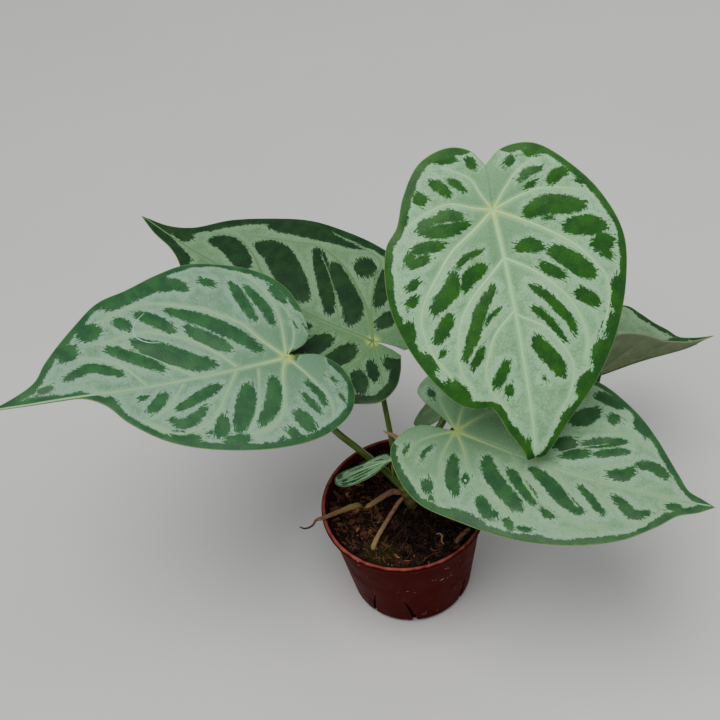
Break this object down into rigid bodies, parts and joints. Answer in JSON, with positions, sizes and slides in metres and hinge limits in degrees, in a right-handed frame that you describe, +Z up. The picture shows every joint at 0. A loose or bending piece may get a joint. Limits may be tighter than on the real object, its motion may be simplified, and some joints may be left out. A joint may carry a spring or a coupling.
{
  "type": "potted anthurium",
  "caption": "Potted foliage anthurium with heart-shaped, silver-patterned leaves on slender stalks, a short rooted stem and coarse soil in a round plastic nursery pot.",
  "frame": {"origin": "centre of the pot's flat base, on the surface that it stands on", "axes": "+Z up along the pot's axis; +X to the right, towards the shaded leaf, and +Y away, in a view from the picture's side"},
  "size_m": [0.376, 0.2486, 0.25],
  "materials": {
    "pot_plastic": "satin red-brown moulded plastic, scuffed",
    "potting_mix": "rough dark chips and fibres",
    "stem": "satin yellow-green, brown at the foot",
    "petiole": "satin mid green",
    "silver_leaf": "satin, silver with dark green blotches and pale veins",
    "dark_leaf": "satin, dark green with silver bands along the veins",
    "dry_sheath": "dry, papery, tan",
    "aerial_root": "matt tan-brown"
  },
  "bodies": {
    "root": {"pot": "pot_plastic", "potting_mix": "potting_mix", "stem": "stem", "blade_front": "silver_leaf", "blade_left": "silver_leaf", "blade_right": "silver_leaf", "blade_back": "dark_leaf", "blade_shaded": "dark_leaf", "young_leaf": "silver_leaf", "petiole_front": "petiole", "petiole_left": "petiole", "petiole_back": "petiole", "petiole_right": "petiole", "petiole_shaded": "petiole", "young_petiole": "petiole", "leaf_sheath": "dry_sheath", "root_left": "aerial_root", "root_front": "aerial_root", "root_over_rim": "aerial_root", "root_right": "aerial_root"}
  },
  "joints": []
}
